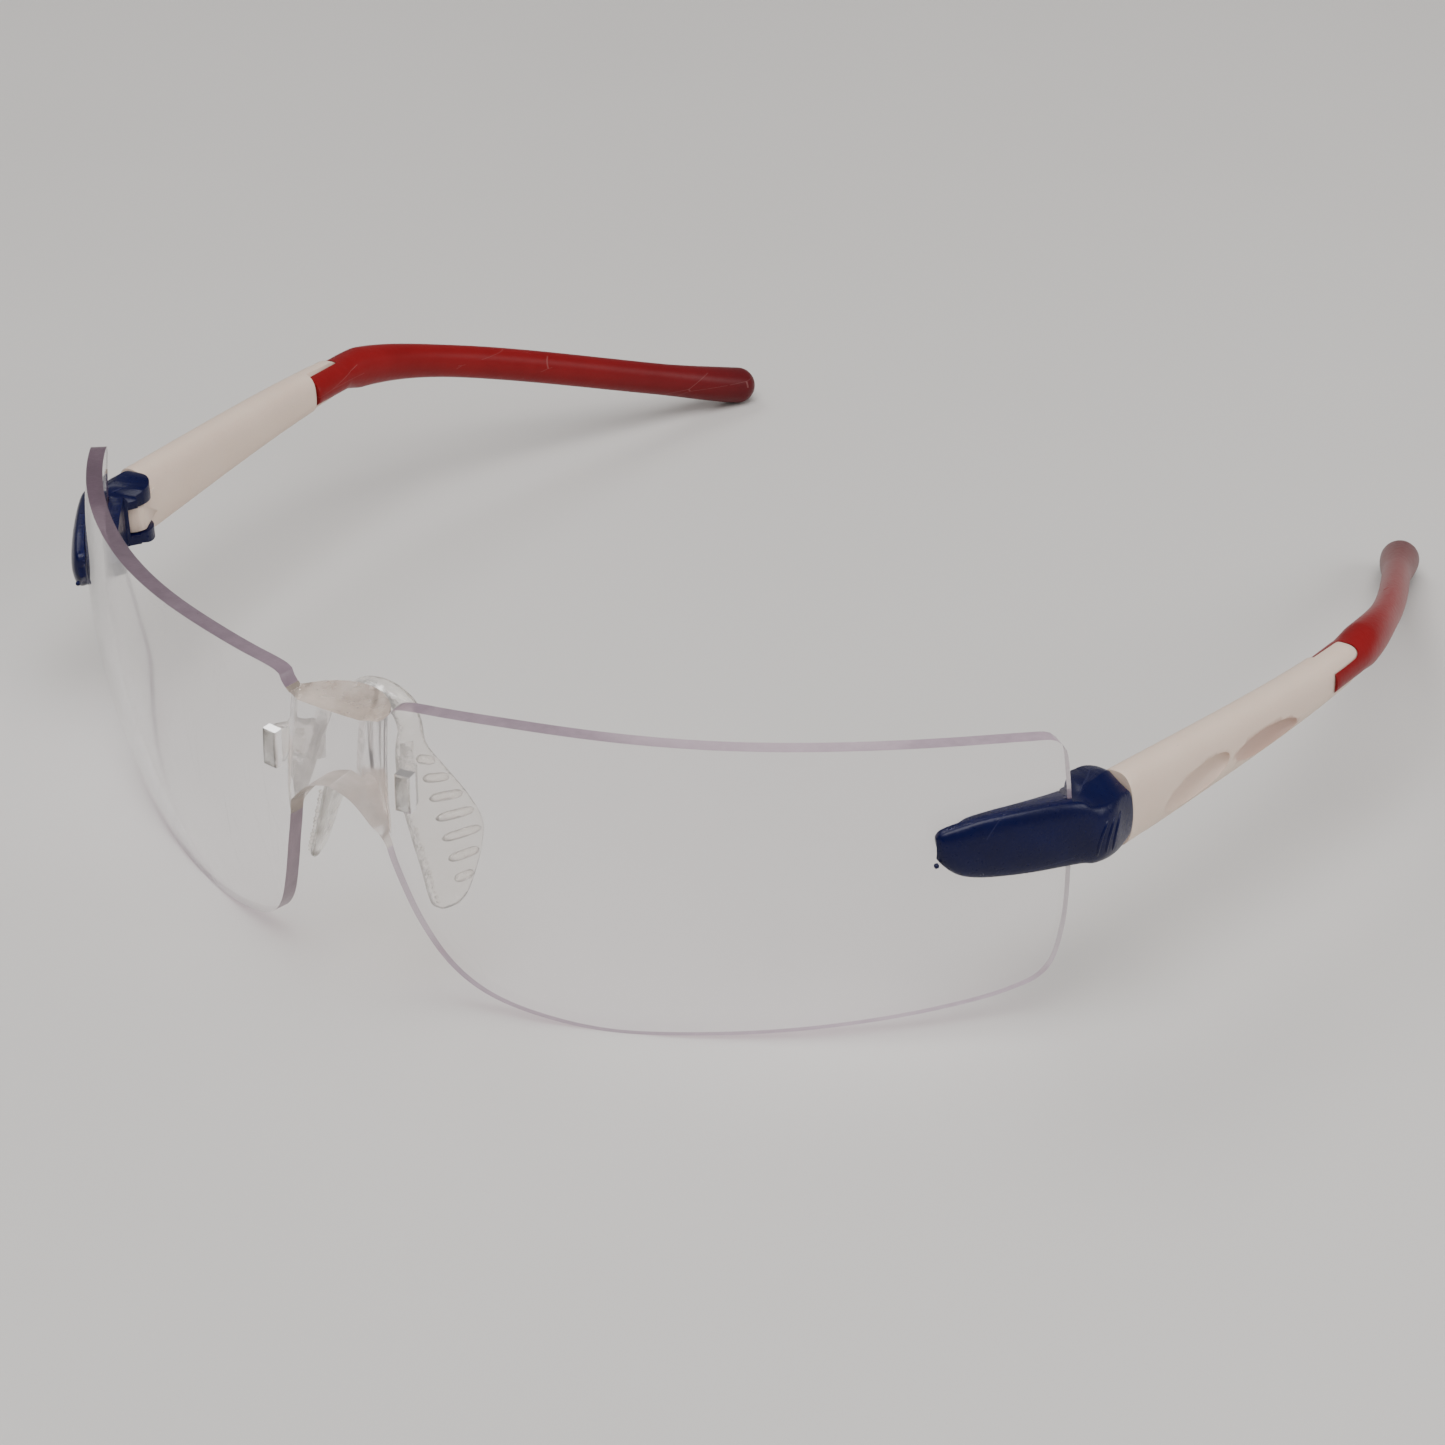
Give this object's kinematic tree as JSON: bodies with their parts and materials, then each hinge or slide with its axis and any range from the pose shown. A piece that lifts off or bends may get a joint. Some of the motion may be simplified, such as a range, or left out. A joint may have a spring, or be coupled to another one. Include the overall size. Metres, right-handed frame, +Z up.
{
  "type": "safety glasses",
  "caption": "Rimless wraparound safety glasses: one clear curved lens, soft nosepiece, clip-on hinges and folding temples with soft tips.",
  "frame": {"origin": "centre of the footprint's bounding box, on the surface that the open glasses rest on", "axes": "+Z up, the wearer looks along -Y, +X towards the wearer's left"},
  "size_m": [0.1594, 0.1571, 0.0391],
  "materials": {
    "clear_lens": "clear hard-coated polycarbonate, mauve at its cut edges",
    "clear_soft_plastic": "clear soft moulding",
    "blue_plastic": "deep glossy navy",
    "white_plastic": "satin warm white",
    "red_soft_plastic": "glossy, slightly translucent deep red",
    "steel_pin": "plain turned pin"
  },
  "bodies": {
    "front": {"lens": "clear_lens", "nosepiece": "clear_soft_plastic", "clip_left": "blue_plastic", "clip_right": "blue_plastic", "hinge_pin_left": "steel_pin", "hinge_pin_right": "steel_pin"},
    "left_temple": {"temple_left": "white_plastic", "temple_tip_left": "red_soft_plastic"},
    "right_temple": {"temple_right": "white_plastic", "temple_tip_right": "red_soft_plastic"}
  },
  "joints": [
    {"name": "left_temple_fold", "type": "hinge", "parent": "front", "child": "left_temple", "pos_m": [0.07041, -0.03429, 0.0243], "axis": [0, 0, 1], "range_deg": [0, 90]},
    {"name": "right_temple_fold", "type": "hinge", "parent": "front", "child": "right_temple", "pos_m": [-0.07041, -0.03429, 0.0243], "axis": [0, 0, -1], "range_deg": [0, 76]}
  ]
}
